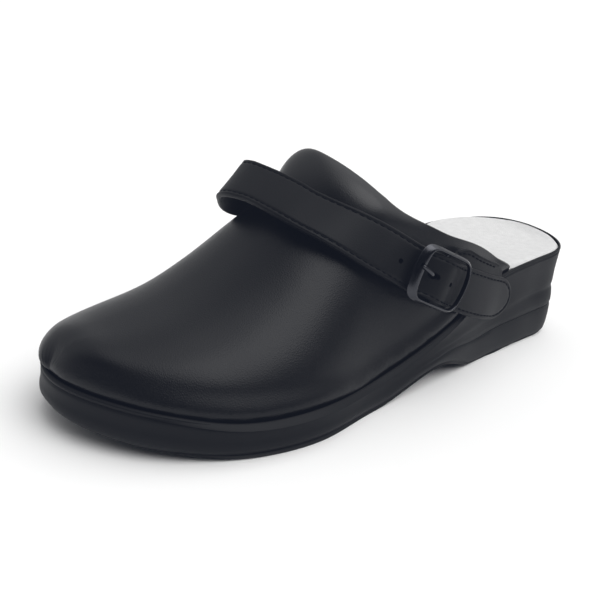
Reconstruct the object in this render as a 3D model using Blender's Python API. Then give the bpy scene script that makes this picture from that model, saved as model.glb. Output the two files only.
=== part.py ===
import math

import bmesh
import bpy
from mathutils import Matrix, Vector

# Sizes are in millimetres. Station runs from the heel back to the toe,
# side is positive towards the lateral side, height is from the ground.
MM = 0.001
LENGTH = 276.0
GAP = 0.3
FIT = 0.5
RIM_WIDTH = 2.0
SEAT_DEPTH = 4.0
SIDE_STEPS = 46
SIDE_FADE = 30.0
WALL = 2.2
UPPER_STEPS = 26
UPPER_ANGLES = 32
UPPER_CROWD = 1.7
LEAN_HALF_WIDTH = 8.0
# The vamp swells out over the rim at the medial side of the toe: where it starts and is full.
TOE_SWELL = 3.0
SWELL_STATIONS = (215.0, 255.0)
SWELL_ANGLES = (92.0, 150.0)
# Padded roll of the collar: how far it stands out and in, and how much more at its crest,
# its share of the length, its highest place and spread within that, and the angles where it ends.
PAD_OUT = 5.2
PAD_CREST = 3.1
PAD_IN = 1.6
PAD_REACH = 0.085
PAD_PEAK = 0.45
PAD_SPREAD = 0.3
CREST_ANGLE = 100.0
CREST_END_ANGLE = 34.0
PAD_ROUND = 0.8
PAD_FULL_ANGLE = 38.0
PAD_END_ANGLE = 62.0
LIP_REACH = 1.2
LIP_SWELL = 0.6
# Insole: rise above the rim, chamfer, dish, and where the upper starts to cover its edge.
INSOLE_RISE = 1.2
INSOLE_EDGE = 0.5
INSOLE_CHAMFER = 0.6
DISH = 1.8
DISH_LENGTH = 0.8
DISH_RINGS = (0.86, 0.68, 0.46, 0.24)
COVER_START = 48.0
COVER_FULL = 56.0
STRAP_THICK = 2.4
STRAP_EDGE = 0.7
STRAP_CROWN = 0.15
STRAP_SPACING = 5.5
LATERAL_ROWS = 8.0
TIP_LENGTH = 15.0
TIP_ANGLES = (0, 18, 36, 54, 72)
TIP_HALF_WIDTH = 1.2
CHAPE_THICK = 1.2
CHAPE_PLAY = 0.15
CHAPE_COLUMNS = 6
FOLD_ANGLES = range(120, -91, -21)
ROUND_SIDES = 20
CUT_DEPTH = 10.0


def table(columns, *rows):
    names = columns.split()
    return [dict(zip(names, row)) for row in rows]


OUTLINE = table(
    "station centre half_width",
    (0.0, 0.0, 0.0),
    (10.0, 1.2, 26.4),
    (36.0, -1.6, 34.3),
    (75.0, 2.2, 34.9),
    (110.0, 5.4, 39.4),
    (150.0, 3.4, 43.4),
    (190.0, 2.8, 50.8),
    (222.0, 0.2, 49.0),
    (250.0, -3.0, 38.6),
    (268.0, -7.0, 22.8),
    (276.0, -7.8, 0.0),
)
HEIGHT = table(
    "station bottom top",
    (0.0, 3.0, 50.2),
    (20.0, 0.0, 47.6),
    (80.0, 0.0, 40.4),
    (110.0, 10.0, 29.2),
    (150.0, 0.0, 15.8),
    (190.0, 0.0, 14.8),
    (220.0, 0.4, 15.2),
    (250.0, 4.0, 20.1),
    (276.0, 8.9, 23.3),
)
# Side of the sole from the tread to the seat: share of the height, rise above that,
# inset from the outline at the heel and at the toe, station where the heel form ends.
SIDE = table(
    "level share rise heel toe reach",
    ("tread", 0.0, 0.0, 4.5, 4.5, 125.0),
    ("round_low", 0.0, 0.5, 2.0, 1.8, 125.0),
    ("round_high", 0.0, 1.8, 0.5, 0.3, 125.0),
    ("wall_low", 0.0, 3.4, -0.4, -0.5, 125.0),
    ("ledge_under", 0.35, -1.0, -0.8, -0.7, 130.0),
    ("ledge", 0.35, 0.0, 0.5, -0.7, 130.0),
    ("ledge_band", 0.35, 1.0, -0.7, -0.6, 130.0),
    ("band_top", 0.5, 0.0, 0.0, -0.3, 130.0),
    ("groove", 0.55, 0.0, 1.0, -0.2, 60.0),
    ("groove_top", 0.6, 0.0, 0.4, -0.1, 60.0),
    ("hollow", 0.72, 0.0, 0.7, 0.0, 125.0),
    ("bead_under", 1.0, -2.8, 0.1, 0.0, 125.0),
    ("bead_groove", 1.0, -2.0, 0.1, 0.6, 125.0),
    ("bead", 1.0, -1.3, 0.0, 0.0, 125.0),
    ("rim_edge", 1.0, -0.4, 0.0, 0.0, 125.0),
    ("rim_top", 1.0, 0.0, 0.5, 0.5, 125.0),
    ("rim_inner", 1.0, 0.0, RIM_WIDTH, RIM_WIDTH, 125.0),
    ("seat", 1.0, -SEAT_DEPTH, RIM_WIDTH, RIM_WIDTH, 125.0),
)
UPPER = table(
    "station ridge ridge_side fullness",
    (0.0, 60.0, 0.0, 2.0),
    (60.0, 110.0, 0.0, 2.0),
    (110.0, 114.0, 0.0, 2.0),
    (140.0, 105.0, -3.0, 2.0),
    (160.0, 91.8, -5.0, 2.1),
    (180.0, 75.0, -7.0, 2.2),
    (200.0, 59.6, -8.0, 2.4),
    (220.0, 48.4, -8.0, 2.8),
    (240.0, 42.6, -8.0, 3.4),
    (256.0, 40.0, -8.0, 3.6),
    (268.0, 39.4, -8.0, 3.6),
    (276.0, 23.3, -7.8, 3.6),
)
# Collar line: angle up from the feather line (90 is the ridge) and its station.
COLLAR = table(
    "angle station",
    (0.0, 57.5),
    (6.0, 67.2),
    (12.0, 76.0),
    (20.0, 90.0),
    (28.0, 107.8),
    (36.0, 121.7),
    (42.0, 131.6),
    (50.0, 139.5),
    (60.0, 145.5),
    (74.0, 150.5),
    (90.0, 152.5),
)
# Both edges of the strap from its tip on the lateral side, over the instep, to the medial ear.
STRAP = table(
    "top_station top_side top_height low_station low_side low_height",
    (62.8, 39.6, 44.0, 65.0, 39.9, 23.2),
    (73.2, 41.0, 46.3, 75.5, 41.4, 25.4),
    (86.8, 43.2, 50.8, 89.2, 44.5, 29.8),
    (101.5, 44.6, 56.6, 104.2, 46.2, 35.8),
    (113.6, 44.9, 62.0, 121.2, 46.0, 43.0),
    (123.0, 44.1, 66.6, 132.7, 45.0, 49.2),
    (129.6, 41.5, 69.7, 140.4, 42.3, 52.6),
    (140.0, 35.3, 75.2, 157.2, 38.2, 63.1),
    (156.5, 27.0, 83.9, 173.3, 29.9, 72.9),
    (166.3, 12.2, 88.7, 184.0, 16.3, 78.9),
    (169.0, 1.0, 90.9, 187.3, 6.3, 81.4),
    (171.4, -12.6, 92.5, 189.4, -8.4, 82.6),
    (173.0, -26.5, 92.8, 191.0, -21.5, 81.2),
    (171.6, -34.5, 90.6, 188.0, -30.5, 76.6),
    (164.5, -40.0, 86.4, 177.0, -40.0, 66.4),
    (147.0, -40.6, 80.4, 154.0, -41.6, 59.6),
    (116.0, -38.0, 69.6, 122.0, -39.6, 48.6),
    (86.0, -35.4, 58.0, 90.0, -36.4, 36.6),
    (66.0, -34.6, 51.0, 69.0, -35.2, 29.4),
)
# Buckle placed on the strap: middle of the frame and the way it is turned.
BUCKLE_MIDDLE = (124.3, 44.8, 56.15)
BUCKLE_TILT = 5.0
BUCKLE_YAW = -4.5
BUCKLE_TURN = 25.0
# Outer and inner outline of the frame: reach of the front and rear bar, and how far each bows out.
FRAME_OUT = {"front": 17.0, "rear": 17.0, "front_bow": 1.6, "rear_bow": 2.2, "half_width": 12.7, "power": 6.5}
FRAME_IN = {"front": 12.2, "rear": 14.8, "front_bow": 1.2, "rear_bow": 1.9, "half_width": 10.9, "power": 8.0}
FRAME_LEVEL = 2.7
FRAME_HALF_THICK = 1.2
FRAME_CHAMFER = 0.5
FRAME_BEVEL = 0.8
FRAME_ANGLES = (0.0, 9.0, 18.0, 26.0, 31.0, 34.5, 38.0, 42.0, 48.0, 58.0, 72.0, 90.0)
BAR_ALONG = -2.0
BAR_LEVEL = -2.0
BAR_RADIUS = 1.0
# Half of the dropped bar from the frame's side bar to the straight run.
BAR = table(
    "reach level radius",
    (11.8, FRAME_LEVEL, 0.75),
    (11.8, BAR_LEVEL + 1.6, 0.75),
    (11.6, BAR_LEVEL + 0.6, 0.8),
    (10.8, BAR_LEVEL + 0.1, 0.95),
    (9.9, BAR_LEVEL, BAR_RADIUS),
)
PRONG_RADIUS = 0.95
PRONG_PLAY = 0.12
PRONG_TIP = 0.5
LOOP_ANGLES = range(320, 39, -20)
WEAVE_LIFT = 2.8
WEAVE_REACH = 12.5
WEAVE_HALF_WIDTH = 12.0
HOLE_RADIUS = 1.1
# Punched holes: distance from the buckle's middle and offset from the strap's middle line.
HOLES = table(
    "along offset",
    (-5.4, 0.0),
    (12.6, -0.6),
    (21.3, -0.7),
)
PRONG_HOLE = {"along": 4.6, "offset": 0.2, "half_along": 3.0, "half_across": 1.5}
# Needle of the prong on the buckle's axes, from its loop to the notch in the front bar.
NEEDLE = table(
    "along across level",
    (0.9, 0.0, -0.5),
    (2.8, 0.0, -0.2),
    (4.4, 0.1, 1.1),
    (5.7, 0.3, 2.5),
    (7.0, 0.62, 3.5),
    (8.6, 1.0, 3.85),
    (13.6, 2.1, 3.85),
    (14.3, 2.25, 3.85),
)
NOTCH_RADIUS = 1.12
NOTCH_MIDDLE = (10.2, 1.35, 3.85)
NOTCH_TURN = 12.4
GATE_SIZE = (10.0, 2.8, 8.0)
GATE_DROP = 1.0
CHAPE_LEAN = 0.012
CHAPE_LEAN_FROM = 6.0
CHAPE_STEPS = (4.5, 7.0, 10.0, 14.0, 18.0, 23.0, 28.0, 33.0, 38.0, 42.0, 45.5, 48.5, 50.5, 51.5)
# Chape: distance behind the bar, its two edges from the strap's middle, depth under it.
CHAPE = table(
    "back top low depth",
    (0.0, 9.0, -9.0, 3.75),
    (4.5, 9.6, -9.2, 3.7),
    (8.0, 14.4, -9.4, 3.4),
    (12.0, 17.0, -9.6, 2.8),
    (18.0, 18.0, -9.6, 2.4),
    (26.0, 17.4, -9.6, 2.1),
    (34.0, 17.0, -9.4, 2.1),
    (42.0, 16.6, -8.8, 2.1),
    (48.0, 15.8, -6.4, 2.1),
    (51.5, 12.4, -2.6, 2.1),
)


def turn(station):
    return math.acos(max(-1.0, min(1.0, 1.0 - 2.0 * station / LENGTH))) / math.pi


def station_at(share):
    return LENGTH * (1.0 - math.cos(math.pi * share)) / 2.0


class Curve:
    # Smooth curve through values at rising keys.
    def __init__(self, keys, values):
        self.keys = keys
        self.values = values
        count = len(keys)
        steps = [keys[i + 1] - keys[i] for i in range(count - 1)]
        rates = [(values[i + 1] - values[i]) / steps[i] for i in range(count - 1)]
        inner = [
            (rates[i - 1] * steps[i] + rates[i] * steps[i - 1]) / (steps[i - 1] + steps[i])
            for i in range(1, count - 1)
        ]
        first = 2.0 * rates[0] - inner[0]
        last = 2.0 * rates[-1] - inner[-1]
        self.slopes = [first] + inner + [last]

    def __call__(self, key):
        key = max(self.keys[0], min(self.keys[-1], key))
        i = 0
        while i < len(self.keys) - 2 and key > self.keys[i + 1]:
            i += 1
        step = self.keys[i + 1] - self.keys[i]
        u = (key - self.keys[i]) / step
        start = (2.0 * u ** 3 - 3.0 * u ** 2 + 1.0) * self.values[i]
        start += (u ** 3 - 2.0 * u ** 2 + u) * step * self.slopes[i]
        end = (3.0 * u ** 2 - 2.0 * u ** 3) * self.values[i + 1]
        end += (u ** 3 - u ** 2) * step * self.slopes[i + 1]
        return start + end


def along_sole(rows, column):
    return Curve([turn(row["station"]) for row in rows], [row[column] for row in rows])


def by_key(rows, key, column):
    return Curve([row[key] for row in rows], [row[column] for row in rows])


def fade(value, full, gone):
    u = max(0.0, min(1.0, (gone - value) / (gone - full)))
    return u * u * (3.0 - 2.0 * u)


centre = along_sole(OUTLINE, "centre")
half_width = along_sole(OUTLINE, "half_width")
bottom = along_sole(HEIGHT, "bottom")
top = along_sole(HEIGHT, "top")
ridge = along_sole(UPPER, "ridge")
ridge_side = along_sole(UPPER, "ridge_side")
fullness = along_sole(UPPER, "fullness")
collar = by_key(COLLAR, "angle", "station")


def ground(share):
    return max(0.0, bottom(share))


def seat(share):
    return top(share) - SEAT_DEPTH + GAP


def edge(share, side):
    if share < 0.0:
        return edge(-share, -side)
    if share > 1.0:
        return edge(2.0 - share, -side)
    return station_at(share), centre(share) + side * half_width(share)


def outline(share, side, inset):
    # Point on the sole's outline moved inwards, square to the edge.
    small = 0.0001
    back = edge(share - small, side)
    fore = edge(share + small, side)
    run_x = fore[0] - back[0]
    run_y = fore[1] - back[1]
    run = math.hypot(run_x, run_y)
    here = edge(share, side)
    return here[0] + side * run_y / run * inset, here[1] - side * run_x / run * inset


def ring(inset, height):
    # Closed ring round the sole: lateral side heel to toe, medial side back again.
    shares = [i / SIDE_STEPS for i in range(SIDE_STEPS + 1)]
    places = [(share, 1) for share in shares] + [(share, -1) for share in shares[-2:0:-1]]
    points = []
    for share, side in places:
        x, y = outline(share, side, inset(share))
        points.append((x, y, height(share)))
    return points


def loft(rings):
    # Faces between closed rings, with both ends closed across the ring.
    count = len(rings[0])
    faces = []
    for level in range(len(rings) - 1):
        for i in range(count):
            j = (i + 1) % count
            low = level * count
            high = low + count
            faces.append((low + i, low + j, high + j, high + i))
    for start in (0, (len(rings) - 1) * count):
        for i in range(count // 2):
            corners = [i, i + 1, (count - i - 1) % count, (count - i) % count]
            faces.append(tuple(dict.fromkeys(start + corner for corner in corners)))
    points = [point for level in rings for point in level]
    return points, faces


def sole_rings():
    rings = []
    for row in SIDE:

        def inset(share, row=row):
            weight = fade(station_at(share), row["reach"] - SIDE_FADE, row["reach"])
            return row["toe"] + (row["heel"] - row["toe"]) * weight

        def height(share, row=row):
            low = ground(share)
            return low + row["share"] * (top(share) - low) + row["rise"]

        rings.append(ring(inset, height))
    return rings


SOLE_RINGS = sole_rings()
ACROSS = [point[1] for level in SOLE_RINGS for point in level]
ALONG = [point[0] for level in SOLE_RINGS for point in level]
MIDDLE = Vector(((max(ALONG) + min(ALONG)) / 2.0, (max(ACROSS) + min(ACROSS)) / 2.0, 0.0))


def clear_scene():
    for item in list(bpy.data.objects):
        bpy.data.objects.remove(item, do_unlink=True)


def collection(name):
    group = bpy.data.collections.new(name)
    bpy.context.scene.collection.children.link(group)
    return group


def material(name, colour, rough, metal):
    surface = bpy.data.materials.new(name)
    surface.use_nodes = True
    shader = surface.node_tree.nodes["Principled BSDF"]
    shader.inputs["Base Color"].default_value = (*colour, 1.0)
    shader.inputs["Roughness"].default_value = rough
    shader.inputs["Metallic"].default_value = metal
    surface.diffuse_color = (*colour, 1.0)
    return surface


def weld(mesh):
    form = bmesh.new()
    form.from_mesh(mesh)
    bmesh.ops.remove_doubles(form, verts=form.verts, dist=0.00001)
    bmesh.ops.recalc_face_normals(form, faces=form.faces)
    form.to_mesh(mesh)
    form.free()


def part_object(name, mesh, surface, group):
    mesh.name = name
    mesh.shade_smooth()
    mesh.set_sharp_from_angle(angle=math.radians(40.0))
    item = bpy.data.objects.new(name, mesh)
    item.data.materials.clear()
    item.data.materials.append(surface)
    group.objects.link(item)
    return item


def solid(name, shape, surface, group):
    points, faces = shape
    mesh = bpy.data.meshes.new(name)
    mesh.from_pydata([(Vector(point) - MIDDLE) * MM for point in points], [], faces)
    weld(mesh)
    return part_object(name, mesh, surface, group)


def as_cutter(item):
    item.hide_render = True
    item.display_type = "WIRE"
    for group in list(item.users_collection):
        group.objects.unlink(item)
    TOOLS.objects.link(item)
    return item


def placed(point, along, across, out):
    # Turn and place of a cutter: its X, Y and Z axes and its middle.
    turned = Matrix((along, across, out)).transposed().to_4x4()
    turned.translation = (Vector(point) - MIDDLE) * MM
    return turned


def combine(item, tool, operation):
    step = item.modifiers.new(tool.name, "BOOLEAN")
    step.operation = operation
    step.solver = "EXACT"
    step.object = tool


def insole_shape():
    def inset(share):
        under_upper = 1.0 - fade(station_at(share), COVER_START, COVER_FULL)
        return RIM_WIDTH + FIT + under_upper * (WALL + FIT)

    def high(share):
        return top(share) + INSOLE_RISE

    def chamfered(share):
        return inset(share) + INSOLE_CHAMFER

    def edge_height(share):
        return high(share) - INSOLE_EDGE

    rings = [ring(inset, seat), ring(inset, edge_height), ring(chamfered, high)]
    rim = rings[-1]
    for spread in DISH_RINGS:
        inner = []
        for x, y, z in rim:
            share = turn(x)
            kept = DISH_LENGTH + (1.0 - DISH_LENGTH) * spread
            x = LENGTH / 2.0 + (x - LENGTH / 2.0) * kept
            y = centre(share) + (y - centre(share)) * spread
            inner.append((x, y, high(turn(x)) - DISH * (1.0 - spread ** 2)))
        rings.append(inner)
    return loft(rings)


def upper_point(share, angle, depth):
    # Point on a section of the last: angle 0 lateral feather, 90 ridge, 180 medial feather.
    inset = RIM_WIDTH + FIT + depth
    narrow = min(1.0, half_width(share) / LEAN_HALF_WIDTH)
    swell = fade(station_at(share), SWELL_STATIONS[1], SWELL_STATIONS[0])
    swell *= fade(angle, SWELL_ANGLES[1], SWELL_ANGLES[0])
    inset -= TOE_SWELL * swell * narrow * math.sqrt(max(0.0, math.sin(math.radians(angle))))
    lateral = outline(share, 1, inset)
    medial = outline(share, -1, inset)
    foot = lateral if angle <= 90.0 else medial
    middle_x = (lateral[0] + medial[0]) / 2.0
    middle_y = centre(share)
    base = top(share) + GAP
    crown = max(base, ridge(share) - depth)
    power = 2.0 / fullness(share) if angle <= 90.0 else 1.0
    reach = abs(math.cos(math.radians(angle))) ** power
    rise = max(0.0, math.sin(math.radians(angle))) ** power
    lean = (ridge_side(share) - middle_y) * rise * narrow
    return (
        middle_x + (foot[0] - middle_x) * reach,
        middle_y + (foot[1] - middle_y) * reach + lean,
        base + (crown - base) * rise,
    )


def upper_rows():
    # Outer, lip and inner rows of the upper, each from the collar to the toe tip.
    angles = [180.0 * i / UPPER_ANGLES for i in range(UPPER_ANGLES + 1)]
    runs = [(i / UPPER_STEPS) ** UPPER_CROWD for i in range(UPPER_STEPS + 1)]
    outer, lip, inner = [], [], []
    first = turn(collar(0.0))
    ends = [first + (1.0 - first) * run for run in runs]
    for angle in angles:
        lift = fade(abs(angle - 90.0), PAD_FULL_ANGLE, PAD_END_ANGLE)
        height = PAD_OUT * lift + PAD_CREST * fade(abs(angle - CREST_ANGLE), 0.0, CREST_END_ANGLE)
        start = turn(collar(min(angle, 180.0 - angle)))
        outer_row, inner_row = [], []
        for run in runs:
            share = start + (1.0 - start) * run
            swell = max(0.0, 1.0 - (run / PAD_REACH - PAD_PEAK) ** 2 / PAD_SPREAD) ** PAD_ROUND
            outer_row.append(upper_point(share, angle, -height * swell))
            inner_row.append(upper_point(share, angle, WALL + PAD_IN * lift * swell))
        back = turn(collar(min(angle, 180.0 - angle)) - LIP_REACH * (1.0 + lift))
        lip.append(upper_point(back, angle, WALL / 2.0 - LIP_SWELL * lift))
        outer.append(outer_row)
        inner.append(inner_row)
    for rows in (outer, inner):
        for place, row in ((0, rows[0]), (len(rows) + 1, rows[-1])):
            skirt = [(x, y, seat(share)) for (x, y, z), share in zip(row, ends)]
            rows.insert(place, skirt)
    for place, point in ((0, lip[0]), (len(lip) + 1, lip[-1])):
        lip.insert(place, (point[0], point[1], seat(ends[0])))
    return outer, lip, inner


def upper_shape():
    outer, lip, inner = upper_rows()
    sheets = [list(reversed(near)) + [edge_point] + far for near, edge_point, far in zip(outer, lip, inner)]
    count = len(sheets[0])
    points = [point for row in sheets for point in row]
    faces = []
    for j in range(len(sheets) - 1):
        for i in range(count - 1):
            here = j * count + i
            faces.append((here, here + 1, here + count + 1, here + count))
    half = count // 2
    for j in (0, len(sheets) - 1):
        for i in range(half):
            here = j * count + i
            mate = j * count + count - 1 - i
            corners = (here, here + 1, mate - 1, mate)
            faces.append(tuple(dict.fromkeys(corners)))
    return points, faces


class Band:
    # The strap's middle surface: middle, direction across and outward normal by key.
    def __init__(self):
        keys = [float(i) for i in range(len(STRAP))]
        self.end = keys[-1]
        self.curves = {name: Curve(keys, [row[name] for row in STRAP]) for name in STRAP[0]}

    def sides(self, key):
        high = Vector([self.curves["top_" + name](key) for name in ("station", "side", "height")])
        low = Vector([self.curves["low_" + name](key) for name in ("station", "side", "height")])
        return high, low

    def place(self, key):
        high, low = self.sides(key)
        middle = (high + low) / 2.0
        ahead = sum(self.sides(min(self.end, key + 0.02)), Vector()) / 2.0
        behind = sum(self.sides(max(0.0, key - 0.02)), Vector()) / 2.0
        run = (ahead - behind).normalized()
        across = (high - low).normalized()
        out = across.cross(run).normalized()
        return middle, run.cross(out).normalized(), out, (high - low).length / 2.0

    def keys_from(self, spacing):
        # Keys at even spacing along the middle line, with the walked distance.
        walked = [(0.0, 0.0)]
        last = self.place(0.0)[0]
        for i in range(1, int(self.end * 100) + 1):
            middle = self.place(i / 100.0)[0]
            walked.append((i / 100.0, walked[-1][1] + (middle - last).length))
            last = middle
        total = walked[-1][1]
        count = round(total / spacing)
        marks = [total * i / count for i in range(count + 1)]
        ends = [TIP_LENGTH * (1.0 - math.cos(math.radians(angle))) for angle in TIP_ANGLES]
        marks = [mark for mark in marks if TIP_LENGTH < mark < total - TIP_LENGTH]
        marks = sorted(marks + ends + [total - mark for mark in ends])
        keys = []
        i = 0
        for mark in marks:
            while i < len(walked) - 2 and walked[i + 1][1] < mark:
                i += 1
            span = walked[i + 1][1] - walked[i][1]
            keys.append((walked[i][0] + 0.01 * (mark - walked[i][1]) / span, mark, total))
        return keys


BAND = Band()


def buckle_axes():
    tilt = math.radians(BUCKLE_TILT)
    yaw = math.radians(BUCKLE_YAW)
    turned = math.radians(BUCKLE_TURN)
    out = Vector((-math.sin(yaw) * math.cos(tilt), math.cos(yaw) * math.cos(tilt), math.sin(tilt)))
    level = Vector((out.y, -out.x, 0.0)).normalized()
    rise = level.cross(out)
    along = level * math.cos(turned) + rise * math.sin(turned)
    across = rise * math.cos(turned) - level * math.sin(turned)
    return along, across, out


ALONG_BUCKLE, ACROSS_BUCKLE, OUT_BUCKLE = buckle_axes()


def on_buckle(along, across, out):
    place = Vector(BUCKLE_MIDDLE) + ALONG_BUCKLE * along + ACROSS_BUCKLE * across + OUT_BUCKLE * out
    return tuple(place)


def weave(middle):
    # Lift of the strap where it passes over the buckle's bar.
    along = (middle - Vector(BUCKLE_MIDDLE)).dot(ALONG_BUCKLE) - BAR_ALONG
    across = abs((middle - Vector(BUCKLE_MIDDLE)).dot(ACROSS_BUCKLE))
    if abs(along) > WEAVE_REACH or across > WEAVE_HALF_WIDTH:
        return 0.0
    return WEAVE_LIFT * math.cos(math.pi * along / (2.0 * WEAVE_REACH)) ** 2


def band_section(half, thick):
    soft = min(STRAP_EDGE, half / 2.0)
    side = thick / 2.0
    corner = [(half, side * 0.4), (half - soft, side), (0.0, side + STRAP_CROWN)]
    upper_half = corner + [(-w, n) for w, n in reversed(corner[:2])]
    return upper_half + [(-w, -n) for w, n in upper_half]


def strap_shape():
    rings = []
    for key, walked, total in BAND.keys_from(STRAP_SPACING):
        middle, across, out, half = BAND.place(key)
        from_end = min(walked, total - walked)
        round_end = math.sqrt(max(0.0, 1.0 - (1.0 - min(1.0, from_end / TIP_LENGTH)) ** 2))
        half = max(half * round_end, TIP_HALF_WIDTH)
        middle = middle + out * weave(middle)
        section = band_section(half, STRAP_THICK)
        rings.append([tuple(middle + across * w + out * n) for w, n in section])
    return loft(rings)


def rod(name, path, sizes, surface, group):
    # Round rod along a path: a bevelled curve made a mesh with its caps welded.
    curve = bpy.data.curves.new(name + "_path", "CURVE")
    curve.dimensions = "3D"
    curve.bevel_depth = max(sizes) * MM
    curve.bevel_resolution = 2
    curve.use_fill_caps = True
    line = curve.splines.new("POLY")
    line.points.add(len(path) - 1)
    for knot, point, size in zip(line.points, path, sizes):
        knot.co = (*((Vector(point) - MIDDLE) * MM), 1.0)
        knot.radius = size / max(sizes)
    guide = bpy.data.objects.new(name + "_path", curve)
    group.objects.link(guide)
    shown = guide.evaluated_get(bpy.context.evaluated_depsgraph_get())
    mesh = bpy.data.meshes.new_from_object(shown)
    bpy.data.objects.remove(guide, do_unlink=True)
    weld(mesh)
    return part_object(name, mesh, surface, group)


def frame_point(form, angle):
    # Squarish outline whose front and rear bars bow out.
    end = "front" if math.cos(angle) > 0.0 else "rear"
    bow = form[end + "_bow"]
    reach = form[end] - bow
    power = form["power"]
    along = abs(math.cos(angle)) / reach
    across = abs(math.sin(angle)) / form["half_width"]
    radius = (along ** power + across ** power) ** (-1.0 / power)
    swell = 1.0 + bow / reach * (1.0 - (radius * across) ** 2)
    return radius * math.cos(angle) * swell, radius * math.sin(angle)


def frame_shape():
    quarter = list(FRAME_ANGLES)
    half = quarter + [180.0 - angle for angle in quarter[-2::-1]]
    angles = half + [angle + 180.0 for angle in half[1:-1]]
    cut = FRAME_CHAMFER
    thick = FRAME_HALF_THICK
    # Corners of the bar round its section: nearer edge, distance in from it, level.
    section = [
        ("far", 0.0, cut - thick),
        ("far", 0.0, thick - FRAME_BEVEL),
        ("far", FRAME_BEVEL, thick),
        ("near", cut, thick),
        ("near", 0.0, thick - cut),
        ("near", 0.0, cut - thick),
        ("near", cut, -thick),
        ("far", cut, -thick),
    ]
    points = []
    faces = []
    count = len(section)
    for i, degrees in enumerate(angles):
        angle = math.radians(degrees)
        far = Vector(frame_point(FRAME_OUT, angle))
        near = Vector(frame_point(FRAME_IN, angle))
        inward = (near - far).normalized()
        for edge_name, step, level in section:
            spot = far + inward * step if edge_name == "far" else near - inward * step
            points.append(on_buckle(spot.x, spot.y, FRAME_LEVEL + level))
        for k in range(count):
            here = i * count
            there = (i + 1) % len(angles) * count
            faces.append((here + k, here + (k + 1) % count, there + (k + 1) % count, there + k))
    return points, faces


def bar_path():
    # Dropped bar: down one side of the frame, across under the strap and up the other.
    path = []
    for side in (-1.0, 1.0):
        leg = [on_buckle(BAR_ALONG, side * row["reach"], row["level"]) for row in BAR]
        path += leg if side < 0.0 else leg[::-1]
    sizes = [row["radius"] for row in BAR]
    return path, sizes + sizes[::-1]


def prong_path():
    # Loop round the bar, then the needle up through the strap to the front bar.
    reach = BAR_RADIUS + PRONG_PLAY + PRONG_RADIUS
    turns = [math.radians(angle) for angle in LOOP_ANGLES]
    path = [(BAR_ALONG + reach * math.cos(a), 0.0, BAR_LEVEL + reach * math.sin(a)) for a in turns]
    path += [tuple(row.values()) for row in NEEDLE]
    sizes = [PRONG_RADIUS] * (len(path) - 1) + [PRONG_RADIUS * PRONG_TIP]
    return [on_buckle(*point) for point in path], sizes


def strap_key(along):
    # Key of the strap's middle line at a distance along the buckle.
    low, high = 0.0, LATERAL_ROWS
    for step in range(40):
        key = (low + high) / 2.0
        reached = (BAND.place(key)[0] - Vector(BUCKLE_MIDDLE)).dot(ALONG_BUCKLE)
        low, high = (key, high) if reached < along else (low, key)
    return low


def hole_cutter(name, along, offset, half_along, half_across):
    middle, across, out, _half = BAND.place(strap_key(along))
    bpy.ops.mesh.primitive_cylinder_add(vertices=ROUND_SIDES, radius=MM, depth=CUT_DEPTH * MM)
    item = bpy.context.object
    item.name = name
    item.data.transform(Matrix.Diagonal((half_along, half_across, 1.0, 1.0)))
    item.matrix_world = placed(middle + across * offset + out, across.cross(out), across, out)
    return as_cutter(item)


def notch_cutter():
    bpy.ops.mesh.primitive_cylinder_add(
        vertices=ROUND_SIDES, radius=NOTCH_RADIUS * MM, depth=CUT_DEPTH * MM
    )
    item = bpy.context.object
    item.name = "notch"
    turned = math.radians(NOTCH_TURN)
    axis = ALONG_BUCKLE * math.cos(turned) + ACROSS_BUCKLE * math.sin(turned)
    item.matrix_world = placed(on_buckle(*NOTCH_MIDDLE), OUT_BUCKLE.cross(axis), OUT_BUCKLE, axis)
    return as_cutter(item)


def gate_cutter():
    bpy.ops.mesh.primitive_cube_add(size=MM)
    item = bpy.context.object
    item.name = "gate"
    item.data.transform(Matrix.Diagonal((*GATE_SIZE, 1.0)))
    place = on_buckle(BAR_ALONG, 0.0, BAR_LEVEL - GATE_DROP)
    item.matrix_world = placed(place, ALONG_BUCKLE, ACROSS_BUCKLE, OUT_BUCKLE)
    return as_cutter(item)


def chape_shape():
    # Leather tab folded round the bar and running back under the strap.
    edge_top = by_key(CHAPE, "back", "top")
    edge_low = by_key(CHAPE, "back", "low")
    depth = by_key(CHAPE, "back", "depth")
    spread = [i / CHAPE_COLUMNS for i in range(CHAPE_COLUMNS + 1)]
    side = CHAPE_THICK / 2.0
    fold = BAR_RADIUS + CHAPE_PLAY + side
    rings = []
    for degrees in FOLD_ANGLES:
        angle = math.radians(degrees)
        section = []
        for reach, shares in ((fold + side, spread), (fold - side, spread[::-1])):
            along = BAR_ALONG + reach * math.cos(angle)
            level = BAR_LEVEL + reach * math.sin(angle)
            for share in shares:
                width = edge_low(0.0) + (edge_top(0.0) - edge_low(0.0)) * share
                section.append(on_buckle(along, width, level))
        rings.append(section)
    for back in CHAPE_STEPS:
        middle, across, out, half = BAND.place(strap_key(BAR_ALONG - back))
        section = []
        for level, shares in ((-side, spread), (side, spread[::-1])):
            for share in shares:
                width = edge_low(back) + (edge_top(back) - edge_low(back)) * share
                sink = depth(back) + CHAPE_LEAN * max(0.0, width - CHAPE_LEAN_FROM) ** 2
                section.append(tuple(middle + across * width + out * (level - sink)))
        rings.append(section)
    return loft(rings)


clear_scene()
PARTS = collection("clog")
TOOLS = collection("cutters")
LEATHER = (0.012, 0.013, 0.017)
METAL = (0.05, 0.05, 0.055)
sole_surface = material("sole_rubber", (0.014, 0.014, 0.016), 0.65, 0.0)
frame_surface = material("buckle_metal", METAL, 0.3, 1.0)

sole = solid("sole", loft(SOLE_RINGS), sole_surface, PARTS)
insole = solid("insole", insole_shape(), material("insole_white", (0.8, 0.8, 0.78), 0.7, 0.0), PARTS)
upper = solid("upper", upper_shape(), material("upper_leather", LEATHER, 0.45, 0.0), PARTS)

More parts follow.
